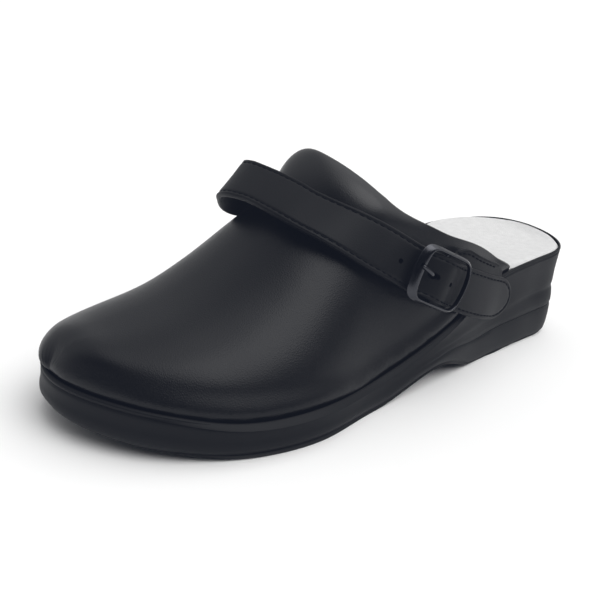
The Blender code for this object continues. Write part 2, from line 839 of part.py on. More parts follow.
strap = solid("strap", strap_shape(), material("strap_leather", LEATHER, 0.45, 0.0), PARTS)
for number, row in enumerate(HOLES):
    cutter = hole_cutter("hole_" + str(number), row["along"], row["offset"], HOLE_RADIUS, HOLE_RADIUS)
    combine(strap, cutter, "DIFFERENCE")
combine(strap, hole_cutter("prong_hole", **PRONG_HOLE), "DIFFERENCE")

frame = solid("buckle_frame", frame_shape(), frame_surface, PARTS)
combine(frame, as_cutter(rod("bar", *bar_path(), frame_surface, PARTS)), "UNION")
combine(frame, notch_cutter(), "DIFFERENCE")
prong = rod("buckle_prong", *prong_path(), material("prong_metal", METAL, 0.3, 1.0), PARTS)
chape = solid("buckle_chape", chape_shape(), material("chape_leather", LEATHER, 0.45, 0.0), PARTS)
combine(chape, gate_cutter(), "DIFFERENCE")
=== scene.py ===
import math

import bpy
from mathutils import Matrix, Vector, kdtree, noise


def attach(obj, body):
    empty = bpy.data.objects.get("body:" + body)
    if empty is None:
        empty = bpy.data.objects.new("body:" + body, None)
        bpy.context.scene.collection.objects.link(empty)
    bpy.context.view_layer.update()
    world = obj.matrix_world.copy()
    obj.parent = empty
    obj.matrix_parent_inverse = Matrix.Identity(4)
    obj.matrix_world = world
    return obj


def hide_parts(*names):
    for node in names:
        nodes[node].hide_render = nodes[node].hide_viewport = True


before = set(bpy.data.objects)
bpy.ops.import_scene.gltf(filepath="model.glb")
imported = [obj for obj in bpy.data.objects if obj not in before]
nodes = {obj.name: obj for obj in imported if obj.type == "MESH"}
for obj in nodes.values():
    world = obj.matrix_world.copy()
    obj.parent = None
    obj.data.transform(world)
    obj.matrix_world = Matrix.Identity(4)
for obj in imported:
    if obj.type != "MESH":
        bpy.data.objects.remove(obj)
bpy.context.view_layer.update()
mm = 0.001
weldSpec = {"solid": 0.00002, "grid": 0.000001, "faceAngle": 60.0, "shapeAngle": 120.0}
origin = Vector((137.95, 2.1628, 0.0))  # station and side of the frame's origin, in mm
print("frame loaded", sorted(nodes))


# small helpers for working on one piece at a time
def pick(piece):
    bpy.ops.object.select_all(action="DESELECT")
    piece.select_set(True)
    bpy.context.view_layer.objects.active = piece


def toRow(point):
    return (Vector(point) - origin) * mm


def applyStep(piece, kind, **settings):
    pick(piece)
    step = piece.modifiers.new(kind.lower(), kind)
    for name, value in settings.items():
        setattr(step, name, value)
    bpy.ops.object.modifier_apply(modifier=step.name)


def editAll(piece):
    pick(piece)
    bpy.ops.object.mode_set(mode="EDIT")
    bpy.ops.mesh.select_all(action="SELECT")


def leaveEdit():
    bpy.ops.object.mode_set(mode="OBJECT")


def smoothBy(piece, degrees):
    pick(piece)
    bpy.ops.object.shade_smooth_by_angle(angle=math.radians(degrees))


def fade(value, full, gone):
    u = max(0.0, min(1.0, (gone - value) / (gone - full)))
    return u * u * (3.0 - 2.0 * u)


def fromNode(nodeName, pieceName):
    # a welded copy of a solid, with its quads back
    node = nodes[nodeName]
    piece = node.copy()
    piece.data = node.data.copy()
    piece.name = pieceName
    piece.data.name = pieceName
    piece.parent = None
    for key in list(piece.keys()):
        del piece[key]
    bpy.context.scene.collection.objects.link(piece)
    editAll(piece)
    bpy.ops.mesh.customdata_custom_splitnormals_clear()
    bpy.ops.mesh.remove_doubles(threshold=weldSpec["solid"])
    bpy.ops.mesh.tris_convert_to_quads(
        face_threshold=math.radians(weldSpec["faceAngle"]),
        shape_threshold=math.radians(weldSpec["shapeAngle"]),
    )
    leaveEdit()
    return piece


def roundOff(piece, levels, hold):
    # smooth a solid's net, pushed out first so that the round form keeps the solid's size
    goal = [corner.co.copy() for corner in piece.data.vertices]
    trial = piece.copy()
    trial.data = piece.data.copy()
    bpy.context.scene.collection.objects.link(trial)
    applyStep(trial, "SUBSURF", levels=levels, render_levels=levels)
    for corner, wanted, reached in zip(piece.data.vertices, goal, trial.data.vertices):
        corner.co = corner.co + (wanted - reached.co) * hold
    bpy.data.objects.remove(trial, do_unlink=True)
    applyStep(piece, "SUBSURF", levels=levels, render_levels=levels)


def finishPiece(piece, surface, slotName, *stoodFor):
    piece.data.materials.clear()
    piece.data.materials.append(surface)
    if stoodFor:
        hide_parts(*stoodFor)
    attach(piece, "root")


# finishes
grainSpec = {"drift": 260.0, "shift": 0.0006, "soft": 0.35, "pores": 3200.0, "poreShare": 0.35, "cloud": 0.55}


def newNode(tree, kind, place, values=None, **settings):
    node = tree.nodes.new(kind)
    node.location = place
    for name, value in settings.items():
        setattr(node, name, value)
    for name, value in (values or {}).items():
        node.inputs[name].default_value = value
    return node


def newGroup(name, inputs, outputs):
    group = bpy.data.node_groups.new(name, "ShaderNodeTree")
    for label, kind in inputs:
        group.interface.new_socket(label, in_out="INPUT", socket_type=kind)
    for label in outputs:
        group.interface.new_socket(label, in_out="OUTPUT", socket_type="NodeSocketFloat")
    entry = newNode(group, "NodeGroupInput", (-900, 0))
    leave = newNode(group, "NodeGroupOutput", (600, 0))
    return group, entry, leave


def makeGrain():
    # fine cells of smooth leather, and the wide cloudiness of its dye
    sockets = [("Vector", "NodeSocketVector"), ("Cells", "NodeSocketFloat"), ("Clouds", "NodeSocketFloat")]
    group, entry, leave = newGroup("leatherGrain", sockets, ["Height", "Cloud"])
    link = group.links.new
    drift = newNode(group, "ShaderNodeTexNoise", (-700, 200), {"Scale": grainSpec["drift"], "Detail": 2.0})
    shift = newNode(group, "ShaderNodeMixRGB", (-500, 200), {"Fac": grainSpec["shift"]}, blend_type="ADD")
    cells = newNode(group, "ShaderNodeTexVoronoi", (-300, 200), feature="DISTANCE_TO_EDGE")
    soften = newNode(
        group, "ShaderNodeMapRange", (-100, 200), {"From Max": grainSpec["soft"]},
        interpolation_type="SMOOTHSTEP",
    )
    pores = newNode(group, "ShaderNodeTexNoise", (-300, -60), {"Scale": grainSpec["pores"], "Detail": 2.0})
    total = newNode(group, "ShaderNodeMath", (100, 150), {1: grainSpec["poreShare"]}, operation="MULTIPLY_ADD")
    cloudValues = {"Detail": 4.0, "Roughness": grainSpec["cloud"]}
    clouds = newNode(group, "ShaderNodeTexNoise", (-300, -320), cloudValues)
    link(entry.outputs["Vector"], drift.inputs["Vector"])
    link(entry.outputs["Vector"], shift.inputs["Color1"])
    link(drift.outputs["Color"], shift.inputs["Color2"])
    link(shift.outputs["Color"], cells.inputs["Vector"])
    link(entry.outputs["Cells"], cells.inputs["Scale"])
    link(cells.outputs["Distance"], soften.inputs["Value"])
    link(entry.outputs["Vector"], pores.inputs["Vector"])
    link(pores.outputs["Fac"], total.inputs[0])
    link(soften.outputs["Result"], total.inputs[2])
    link(entry.outputs["Vector"], clouds.inputs["Vector"])
    link(entry.outputs["Clouds"], clouds.inputs["Scale"])
    link(total.outputs["Value"], leave.inputs["Height"])
    link(clouds.outputs["Fac"], leave.inputs["Cloud"])
    return group


grainGroup = makeGrain()


def makeFinish(name, spec):
    # one surface: two tones mixed by cloudiness, gloss that varies a little, and grain as relief
    surface = bpy.data.materials.new(name)
    surface.use_nodes = True
    tree = surface.node_tree
    link = tree.links.new
    shader = tree.nodes["Principled BSDF"]
    place = newNode(tree, "ShaderNodeTexCoord", (-1300, 0))
    grain = newNode(tree, "ShaderNodeGroup", (-1050, 0))
    grain.node_tree = grainGroup
    grain.inputs["Cells"].default_value = spec["cells"]
    grain.inputs["Clouds"].default_value = spec["clouds"]
    tone = newNode(tree, "ShaderNodeMixRGB", (-500, 200))
    tone.inputs["Color1"].default_value = (*spec["dark"], 1.0)
    tone.inputs["Color2"].default_value = (*spec["light"], 1.0)
    cloudRange = {"From Min": 0.3, "From Max": 0.7}
    spread = newNode(tree, "ShaderNodeMapRange", (-760, 220), cloudRange)
    gloss = newNode(tree, "ShaderNodeMapRange", (-500, -40), cloudRange)
    gloss.inputs["To Min"].default_value = spec["rough"][0]
    gloss.inputs["To Max"].default_value = spec["rough"][1]
    relief = newNode(tree, "ShaderNodeBump", (-500, -320), {"Strength": spec["strength"]})
    relief.inputs["Distance"].default_value = spec["depth"] * mm
    link(place.outputs["Object"], grain.inputs["Vector"])
    link(grain.outputs["Cloud"], spread.inputs["Value"])
    link(spread.outputs["Result"], tone.inputs["Fac"])
    link(grain.outputs["Cloud"], gloss.inputs["Value"])
    link(grain.outputs["Height"], relief.inputs["Height"])
    link(tone.outputs["Color"], shader.inputs["Base Color"])
    link(gloss.outputs["Result"], shader.inputs["Roughness"])
    link(relief.outputs["Normal"], shader.inputs["Normal"])
    shader.inputs["Metallic"].default_value = spec.get("metal", 0.0)
    shader.inputs["Specular IOR Level"].default_value = spec.get("specular", 0.5)
    shader.inputs["Sheen Weight"].default_value = spec.get("sheen", 0.0)
    if "shiny" in spec:
        # a stronger shine where the mesh's own attribute asks for it
        share = newNode(tree, "ShaderNodeAttribute", (-760, 480), attribute_name="shine")
        shine = newNode(tree, "ShaderNodeMapRange", (-500, 480))
        shine.inputs["To Min"].default_value = spec["specular"]
        shine.inputs["To Max"].default_value = spec["shiny"]
        link(share.outputs["Fac"], shine.inputs["Value"])
        link(shine.outputs["Result"], shader.inputs["Specular IOR Level"])
    return surface


upperLeather = makeFinish("upperLeather", {
    "dark": (0.002, 0.002, 0.0022), "light": (0.0032, 0.0031, 0.0032), "rough": (0.32, 0.39),
    "specular": 0.215, "shiny": 0.36, "cells": 1100.0, "clouds": 22.0, "strength": 0.3, "depth": 0.08,
})
strapLeather = makeFinish("strapLeather", {
    "dark": (0.0025, 0.0026, 0.0028), "light": (0.0036, 0.0036, 0.0037), "rough": (0.42, 0.5),
    "specular": 0.128, "cells": 1200.0, "clouds": 30.0, "strength": 0.3, "depth": 0.08,
})
liningLeather = makeFinish("liningLeather", {
    "dark": (0.01, 0.01, 0.011), "light": (0.015, 0.0145, 0.0145), "rough": (0.7, 0.82),
    "cells": 1500.0, "clouds": 40.0, "strength": 0.3, "depth": 0.06,
})
soleRubber = makeFinish("soleRubber", {
    "dark": (0.003, 0.0031, 0.0033), "light": (0.0043, 0.0043, 0.0044), "rough": (0.48, 0.56),
    "specular": 0.15, "cells": 2400.0, "clouds": 35.0, "strength": 0.3, "depth": 0.05,
})
insoleCloth = makeFinish("insoleCloth", {
    "dark": (0.61, 0.61, 0.61), "light": (0.69, 0.69, 0.69), "rough": (0.75, 0.9),
    "cells": 900.0, "clouds": 300.0, "strength": 0.5, "depth": 0.12, "sheen": 0.2,
})
gunMetal = makeFinish("gunMetal", {
    "dark": (0.042, 0.043, 0.048), "light": (0.055, 0.056, 0.061), "rough": (0.17, 0.23), "metal": 1.0,
    "cells": 3000.0, "clouds": 200.0, "strength": 0.1, "depth": 0.03,
})
blackThread = makeFinish("blackThread", {
    "dark": (0.002, 0.0022, 0.003), "light": (0.0035, 0.0037, 0.0045), "rough": (0.75, 0.9), "specular": 0.08,
    "cells": 4000.0, "clouds": 400.0, "strength": 0.4, "depth": 0.08,
})
print("finishes made")


# sole, insole and upper: the solids' own forms, made round
soleSpec = {"levels": 1, "hold": 0.8, "hardAngle": 40.0}
sole = fromNode("sole", "soleBody")
roundOff(sole, soleSpec["levels"], soleSpec["hold"])
for corner in sole.data.vertices:
    corner.co.z = max(0.0, corner.co.z)
smoothBy(sole, soleSpec["hardAngle"])
finishPiece(sole, soleRubber, "sole_rubber", "sole")
print("sole", len(sole.data.polygons))

insoleSpec = {
    "levels": 2, "hold": 0.6, "hardAngle": 50.0, "sag": 1.3, "sagReach": (-132.0, -112.0), "flat": 0.5,
}


def sagInsole(piece, spec):
    # the top lies a little lower at the heel's end, where the rim shows behind it
    tops = [min(1.0, max(0.0, corner.normal.z) / spec["flat"]) for corner in piece.data.vertices]
    for corner, top in zip(piece.data.vertices, tops):
        corner.co.z -= spec["sag"] * mm * top * fade(corner.co.x / mm, *spec["sagReach"])


insole = fromNode("insole", "insoleCover")
roundOff(insole, insoleSpec["levels"], insoleSpec["hold"])
sagInsole(insole, insoleSpec)
smoothBy(insole, insoleSpec["hardAngle"])
finishPiece(insole, insoleCloth, "insole_white", "insole")
print("insole", len(insole.data.polygons))

# upper: the vamp swells over the rim, its inner faces are the lining, and its soft collar shines
upperSpec = {
    "levels": 2, "hold": 0.9, "hardAngle": 60.0, "waver": 0.3, "waverSize": 46.0,
    "axisSide": -4.0, "axisHeight": 26.0, "axisEnd": 100.0, "axisShare": 0.8,
    "bulge": 1.6, "bulgeLow": -0.4, "bulgeFull": 2.6, "bulgeHigh": 11.0, "leastLean": 0.4,
    "rimStep": 4.0, "rimRounds": 10,
    "toeAhead": (90.0, 65.0), "toeAbove": (36.0, 28.0), "toeRounds": 50, "toeFactor": 0.5,
    "edgeAbove": 38.0, "shineReach": (9.0, 24.0),
}


def rimLine(piece, spec):
    # the sole's rim seen from the side: its highest point in each short length, evened out
    tops = {}
    for corner in piece.data.vertices:
        key = int(corner.co.x // (spec["rimStep"] * mm))
        if key not in tops or corner.co.z > tops[key].z:
            tops[key] = corner.co.copy()
    line = [tops[key] for key in sorted(tops)]
    for again in range(spec["rimRounds"]):
        evened = [(a + b * 2.0 + c) / 4.0 for a, b, c in zip(line, line[1:], line[2:])]
        line = line[:1] + evened + line[-1:]
    return line


def heightOn(line, x):
    for a, b in zip(line, line[1:]):
        if x <= b.x:
            return a.z + (b.z - a.z) * max(0.0, x - a.x) / (b.x - a.x)
    return line[-1].z


def addBulge(piece, base, spec):
    # the leather swells over the rim just above the feather line
    line = rimLine(base, spec)
    piece.data.update()
    normals = [corner.normal.copy() for corner in piece.data.vertices]
    for corner, normal in zip(piece.data.vertices, normals):
        above = (corner.co.z - heightOn(line, corner.co.x)) / mm
        outward = Vector((normal.x, normal.y, 0.0))
        core = Vector((corner.co.x * spec["axisShare"], spec["axisSide"] * mm, corner.co.z))
        if outward.length > spec["leastLean"] and outward.dot(corner.co - core) > 0.0:
            swell = fade(above, spec["bulgeFull"], spec["bulgeHigh"])
            swell *= spec["bulge"] * fade(above, spec["bulgeFull"], spec["bulgeLow"])
            corner.co = corner.co + outward.normalized() * swell * mm


def softenToe(piece, spec):
    # the toe's shoulder runs evenly into the vamp
    group = piece.vertex_groups.new(name="toe")
    for corner in piece.data.vertices:
        ahead = fade(corner.co.x / mm, *spec["toeAhead"])
        above = fade(corner.co.z / mm, *spec["toeAbove"])
        group.add([corner.index], ahead * above, "REPLACE")
    applyStep(piece, "SMOOTH", factor=spec["toeFactor"], iterations=spec["toeRounds"], vertex_group="toe")
    piece.vertex_groups.clear()


def addWaver(piece, spec):
    # slight unevenness of leather drawn over a last
    piece.data.update()
    normals = [corner.normal.copy() for corner in piece.data.vertices]
    for corner, normal in zip(piece.data.vertices, normals):
        lift = noise.noise(corner.co / (spec["waverSize"] * mm))
        corner.co = corner.co + normal * lift * spec["waver"] * mm


def lineInside(piece, surface, spec):
    # faces that look towards the foot take the second material
    piece.data.materials.append(surface)
    for face in piece.data.polygons:
        middle = face.center
        core = Vector((min(middle.x, spec["axisEnd"] * mm), spec["axisSide"] * mm, spec["axisHeight"] * mm))
        if face.normal.dot(middle - core) < 0.0:
            face.material_index = 1


def shineCollar(piece, spec):
    # the soft collar shines more than the vamp: most at the edge where leather and lining meet
    sides = {}
    for face in piece.data.polygons:
        for corner in face.vertices:
            sides.setdefault(corner, set()).add(face.material_index)
    edge = [corner for corner, found in sides.items() if len(found) == 2]
    edge = [corner for corner in edge if piece.data.vertices[corner].co.z > spec["edgeAbove"] * mm]
    tree = kdtree.KDTree(len(edge))
    for corner in edge:
        tree.insert(piece.data.vertices[corner].co, corner)
    tree.balance()
    shine = piece.data.attributes.new("shine", "FLOAT", "POINT")
    for corner in piece.data.vertices:
        shine.data[corner.index].value = fade(tree.find(corner.co)[2] / mm, *spec["shineReach"])


upper = fromNode("upper", "upperShell")
roundOff(upper, upperSpec["levels"], upperSpec["hold"])
addBulge(upper, sole, upperSpec)
softenToe(upper, upperSpec)
addWaver(upper, upperSpec)
smoothBy(upper, upperSpec["hardAngle"])
finishPiece(upper, upperLeather, "upper_leather", "upper")
lineInside(upper, liningLeather, upperSpec)
shineCollar(upper, upperSpec)
print("upper", len(upper.data.polygons))

# the strap's two edges, top then low: station, side and height in mm,
# from the tip over the instep to the inner ear
strapRows = [
    (62.8, 39.6, 44.0, 65.0, 39.9, 23.2),
    (73.2, 41.0, 46.3, 75.5, 41.4, 25.4),
    (86.8, 43.2, 50.8, 89.2, 44.5, 29.8),
    (101.5, 44.6, 56.6, 104.2, 46.2, 35.8),
    (113.6, 44.9, 62.0, 121.2, 46.0, 43.0),
    (123.0, 44.1, 66.6, 132.7, 45.0, 49.2),
    (129.6, 41.5, 69.7, 140.4, 42.3, 52.6),
    (140.0, 35.3, 75.2, 157.2, 38.2, 63.1),
    (156.5, 27.0, 83.9, 173.3, 29.9, 72.9),
    (166.3, 12.2, 88.7, 184.0, 16.3, 78.9),
    (169.0, 1.0, 90.9, 187.3, 6.3, 81.4),
    (171.4, -12.6, 92.5, 189.4, -8.4, 82.6),
    (173.0, -26.5, 92.8, 191.0, -21.5, 81.2),
    (171.6, -34.5, 90.6, 188.0, -30.5, 76.6),
    (164.5, -40.0, 86.4, 177.0, -40.0, 66.4),
    (147.0, -40.6, 80.4, 154.0, -41.6, 59.6),
    (116.0, -38.0, 69.6, 122.0, -39.6, 48.6),
    (86.0, -35.4, 58.0, 90.0, -36.4, 36.6),
    (66.0, -34.6, 51.0, 69.0, -35.2, 29.4),
]
buckleSpec = {
    "middle": (124.3, 44.8, 56.15), "tilt": 5.0, "yaw": -4.5, "turn": 25.0,
    "barAlong": -2.0, "lift": 2.8, "liftReach": 12.5, "liftSide": 12.0,
    "outer": {"front": 17.0, "rear": 17.0, "frontBow": 1.6, "rearBow": 2.2, "halfWidth": 12.7, "power": 6.5},
    "inner": {"front": 12.2, "rear": 14.8, "frontBow": 1.2, "rearBow": 1.9, "halfWidth": 10.9, "power": 8.0},
    "level": 2.7, "steps": 120, "fineSteps": 1440,
    "edge": 0.22, "edgeRows": 2, "edgeAngle": 40.0, "hardAngle": 30.0,
    # section from the outer edge (0) to the inner edge (1): share across and level
    "section": [
        (0.0, -1.0), (0.0, -0.6), (0.05, -0.5), (0.3, 0.25), (0.55, 0.85), (0.75, 1.15), (0.9, 1.17),
        (1.0, 0.75), (1.0, -0.8), (0.85, -1.2), (0.1, -1.2),
    ],
    "bar": [(11.8, 2.7, 0.75), (11.8, -0.4, 0.75), (11.6, -1.4, 0.8), (10.8, -1.9, 0.95), (9.9, -2.0, 1.0)],
    "notch": {"middle": (10.2, 1.35, 3.85), "turn": 12.4, "radius": 1.12, "length": 10.0, "sides": 32},
}
strapSpec = {
    "halfThick": 1.2, "crown": 0.15, "tip": 15.0, "tipHalf": 1.2, "outerEdge": 0.9, "innerEdge": 0.6,
    "grooveAt": 1.9, "grooveWidth": 0.5, "groove": 0.4, "spacing": 1.7, "fine": 0.42,
    "insets": [
        0.0, 0.15, 0.35, 0.6, 0.9, 1.15, 1.35, 1.55, 1.75, 1.95, 2.15, 2.35, 2.6, 3.0, 3.8, 5.0, 6.8, 8.6,
    ],
    "insetHalf": 10.2, "underShares": [1.0, 0.985, 0.96, 0.93, 0.7, 0.35], "walkSteps": 40, "hardAngle": 40.0,
    "holes": [(-5.4, 0.0, 1.1, 1.1), (12.6, -0.6, 1.1, 1.1), (21.3, -0.7, 1.1, 1.1), (4.6, 0.2, 3.0, 1.5)],
    "holeSides": 40, "holeDepth": 12.0, "slopeStep": 0.02, "lastKey": 8.0, "halvings": 30,
    "tipRoom": 1.0, "tipStart": 0.02, "seamEnd": 2.0, "seamSteps": 110, "seamTurns": 30,
}


def throughRows(rows, key):
    # smooth curve through the rows, one row to a key
    key = max(0.0, min(len(rows) - 1.0, key))
    i = min(int(key), len(rows) - 2)
    u = key - i

    def slope(place, column):
        if place == 0:
            return 2.0 * (rows[1][column] - rows[0][column]) - slope(1, column)
        if place == len(rows) - 1:
            return 2.0 * (rows[-1][column] - rows[-2][column]) - slope(place - 1, column)
        return (rows[place + 1][column] - rows[place - 1][column]) / 2.0

    values = []
    for column, value in enumerate(rows[i]):
        start = (2.0 * u ** 3 - 3.0 * u ** 2 + 1.0) * value + (u ** 3 - 2.0 * u ** 2 + u) * slope(i, column)
        end = (3.0 * u ** 2 - 2.0 * u ** 3) * rows[i + 1][column] + (u ** 3 - u ** 2) * slope(i + 1, column)
        values.append(start + end)
    return values


def strapPlace(key):
    values = throughRows(strapRows, key)
    high, low = Vector(values[:3]), Vector(values[3:])
    ahead = throughRows(strapRows, key + strapSpec["slopeStep"])
    behind = throughRows(strapRows, key - strapSpec["slopeStep"])
    run = Vector([ahead[i] + ahead[i + 3] - behind[i] - behind[i + 3] for i in range(3)]).normalized()
    out = (high - low).cross(run).normalized()
    return (high + low) / 2.0, run.cross(out).normalized(), out, (high - low).length / 2.0


def buckleAxes(spec):
    tilt, yaw, turn = (math.radians(spec[name]) for name in ("tilt", "yaw", "turn"))
    out = Vector((-math.sin(yaw) * math.cos(tilt), math.cos(yaw) * math.cos(tilt), math.sin(tilt)))
    level = Vector((out.y, -out.x, 0.0)).normalized()
    rise = level.cross(out)
    along = level * math.cos(turn) + rise * math.sin(turn)
    return along, rise * math.cos(turn) - level * math.sin(turn), out


buckleAlong, buckleAcross, buckleOut = buckleAxes(buckleSpec)
buckleMiddle = Vector(buckleSpec["middle"])


def onBuckle(along, across, out):
    return buckleMiddle + buckleAlong * along + buckleAcross * across + buckleOut * out


def weaveLift(middle):
    # the strap rises where it passes over the buckle's bar
    along = (middle - buckleMiddle).dot(buckleAlong) - buckleSpec["barAlong"]
    across = abs((middle - buckleMiddle).dot(buckleAcross))
    if abs(along) > buckleSpec["liftReach"] or across > buckleSpec["liftSide"]:
        return 0.0
    return buckleSpec["lift"] * math.cos(math.pi * along / (2.0 * buckleSpec["liftReach"])) ** 2


def walkStrap():
    walked = [(0.0, 0.0)]
    last = strapPlace(0.0)[0]
    for i in range(1, (len(strapRows) - 1) * strapSpec["walkSteps"] + 1):
        key = i / strapSpec["walkSteps"]
        middle = strapPlace(key)[0]
        walked.append((key, walked[-1][1] + (middle - last).length))
        last = middle
    return walked


strapWalk = walkStrap()
strapLength = strapWalk[-1][1]


def keyAt(distance):
    low, high = 0, len(strapWalk) - 1
    while high - low > 1:
        half = (low + high) // 2
        low, high = (half, high) if strapWalk[half][1] <= distance else (low, half)
    (startKey, start), (endKey, end) = strapWalk[low], strapWalk[high]
    return startKey + (endKey - startKey) * (distance - start) / (end - start)


def keyAlong(along):
    # key of the strap's middle line at a distance along the buckle
    low, high = 0.0, strapSpec["lastKey"]
    for again in range(strapSpec["halvings"]):
        key = (low + high) / 2.0
        reached = (strapPlace(key)[0] - buckleMiddle).dot(buckleAlong)
        low, high = (key, high) if reached < along else (low, key)
    return low


def halfAt(distance, half):
    fromEnd = min(distance, strapLength - distance)
    taper = math.sqrt(max(0.0, 1.0 - (1.0 - min(1.0, fromEnd / strapSpec["tip"])) ** 2))
    return max(half * taper, strapSpec["tipHalf"])


def edgeDistance(distance, width, half):
    # distance in from the strap's outline, also round its tips
    fromEnd = min(distance, strapLength - distance)
    tip = strapSpec["tip"]
    if fromEnd >= tip:
        return half - abs(width)
    u = (tip - fromEnd) / tip
    q = math.hypot(u, width / half)
    if q < 0.0001:
        return min(tip, half)
    return (1.0 - q) * q / math.hypot(u / tip, width / half ** 2)


def rounded(depth, radius):
    depth = max(0.0, min(radius, depth))
    return radius - math.sqrt(radius ** 2 - (radius - depth) ** 2)


def strapFace(distance, width, half):
    # height of the outer face over the strap's middle, with its edge groove
    inside = edgeDistance(distance, width, half)
    height = strapSpec["halfThick"] + strapSpec["crown"] * (1.0 - (width / half) ** 2)
    fromGroove = (inside - strapSpec["grooveAt"]) / strapSpec["grooveWidth"]
    return height - rounded(inside, strapSpec["outerEdge"]) - strapSpec["groove"] * math.exp(-fromGroove ** 2)


def strapSpot(distance, width, height):
    middle, across, out, half = strapPlace(keyAt(distance))
    return middle + across * width + out * (height + weaveLift(middle))


def buildStrap():
    spec = strapSpec
    steps = [spec["fine"] * i for i in range(int((spec["tip"] + spec["tipRoom"]) / spec["fine"]))]
    steps[0] = spec["tipStart"]
    middleCount = int((strapLength - 2.0 * steps[-1]) / spec["spacing"])
    gap = (strapLength - 2.0 * steps[-1]) / middleCount
    marks = steps + [steps[-1] + gap * i for i in range(1, middleCount)]
    marks += [strapLength - step for step in reversed(steps)]
    shares = [1.0 - inset / spec["insetHalf"] for inset in spec["insets"]]
    outer = [(share, 1) for share in shares] + [(0.0, 1)] + [(-share, 1) for share in reversed(shares)]
    under = spec["underShares"]
    inner = [(-share, -1) for share in under] + [(0.0, -1)] + [(share, -1) for share in reversed(under)]
    section = outer + inner
    bpy.ops.mesh.primitive_grid_add(x_subdivisions=len(marks) - 1, y_subdivisions=len(section), size=2.0)
    piece = bpy.context.object
    piece.name = "strapBand"
    columns = len(marks)
    for i, mark in enumerate(marks):
        middle, across, out, fullHalf = strapPlace(keyAt(mark))
        half = halfAt(mark, fullHalf)
        lift = weaveLift(middle)
        for j in range(len(section) + 1):
            share, side = section[j % len(section)]
            width = half * share
            if side > 0:
                height = strapFace(mark, width, fullHalf)
            else:
                height = rounded(edgeDistance(mark, width, fullHalf), spec["innerEdge"]) - spec["halfThick"]
            place = middle + across * width + out * (height + lift)
            piece.data.vertices[j * columns + i].co = toRow(place)
    editAll(piece)
    bpy.ops.mesh.remove_doubles(threshold=weldSpec["grid"])
    bpy.ops.mesh.select_all(action="DESELECT")
    bpy.ops.mesh.select_non_manifold()
    bpy.ops.mesh.fill_holes(sides=0)
    bpy.ops.mesh.select_all(action="SELECT")
    bpy.ops.mesh.normals_make_consistent(inside=False)
    leaveEdit()
    return piece


def cutHoles(piece, spec):
    for along, offset, halfAlong, halfAcross in spec["holes"]:
        middle, across, out, half = strapPlace(keyAlong(along))
        bpy.ops.mesh.primitive_cylinder_add(vertices=spec["holeSides"], radius=mm, depth=spec["holeDepth"] * mm)
        cutter = bpy.context.object
        cutter.data.transform(Matrix.Diagonal((halfAlong, halfAcross, 1.0, 1.0)))
        place = Matrix((across.cross(out), across, out)).transposed().to_4x4()
        place.translation = toRow(middle + across * offset + out)
        cutter.data.transform(place)
        applyStep(piece, "BOOLEAN", operation="DIFFERENCE", solver="EXACT", object=cutter)
        bpy.data.objects.remove(cutter, do_unlink=True)


strap = buildStrap()
cutHoles(strap, strapSpec)
smoothBy(strap, strapSpec["hardAngle"])
finishPiece(strap, strapLeather, "strap_leather", "strap")
print("strap", len(strap.data.polygons), "length", round(strapLength, 1))

# stitches: one long bead repeated along a path
stitchSpec = {
    "length": 2.5, "radius": 0.4, "pitch": 3.4, "sink": 0.05, "hardAngle": 60.0, "sides": 10, "rings": 8,
}


def addStitches(name, path, slotName):
    spec = stitchSpec
    line = bpy.data.curves.new(name + "Path", "CURVE")
    line.dimensions = "3D"
    run = line.splines.new("POLY")
    run.points.add(len(path) - 1)
    for knot, point in zip(run.points, path):
        knot.co = (*toRow(point), 1.0)
    guide = bpy.data.objects.new(name + "Path", line)
    bpy.context.scene.collection.objects.link(guide)
    total = sum((b - a).length for a, b in zip(path, path[1:]))
    bpy.ops.object.select_all(action="DESELECT")
    bpy.ops.mesh.primitive_uv_sphere_add(segments=spec["sides"], ring_count=spec["rings"], radius=1.0)
    stitch = bpy.context.object
    stitch.name = name
    stitch.data.transform(Matrix.Rotation(math.pi / 2.0, 4, "Y"))
    reach, radius = spec["length"] / 2.0 * mm, spec["radius"] * mm
    stitch.data.transform(Matrix.Diagonal((reach, radius, radius, 1.0)))
    stitch.data.transform(Matrix.Translation((spec["pitch"] / 2.0 * mm, 0.0, 0.0)))
    applyStep(
        stitch, "ARRAY", count=int(total / spec["pitch"]), use_relative_offset=False,
        use_constant_offset=True, constant_offset_displace=(spec["pitch"] * mm, 0.0, 0.0),
    )
    applyStep(stitch, "CURVE", object=guide, deform_axis="POS_X")
    bpy.data.objects.remove(guide, do_unlink=True)
    smoothBy(stitch, spec["hardAngle"])
    finishPiece(stitch, blackThread, slotName)


def strapStitchPath():
    # down the low edge, round the tip and back along the top edge
    inset = strapSpec["grooveAt"]
    tip = strapSpec["tip"]
    last = strapLength - tip - strapSpec["seamEnd"]
    count, turns = strapSpec["seamSteps"], strapSpec["seamTurns"]
    straight = [tip + (last - tip) * i / count for i in range(count + 1)]
    path = []

    def addSpot(distance, width, half):
        path.append(strapSpot(distance, width, strapFace(distance, width, half) - stitchSpec["sink"]))

    for distance in reversed(straight):
        half = strapPlace(keyAt(distance))[3]
        addSpot(distance, inset - half, half)
    for i in range(1, turns):
        turn = math.radians(-90.0 + 180.0 * i / turns)
        distance = tip - (tip - inset) * math.cos(turn)
        half = strapPlace(keyAt(distance))[3]
        addSpot(distance, (half - inset) * math.sin(turn), half)
    for distance in straight:
        half = strapPlace(keyAt(distance))[3]
        addSpot(distance, half - inset, half)
    return path


addStitches("strapStitches", strapStitchPath(), "strap_leather")
print("strap stitched")


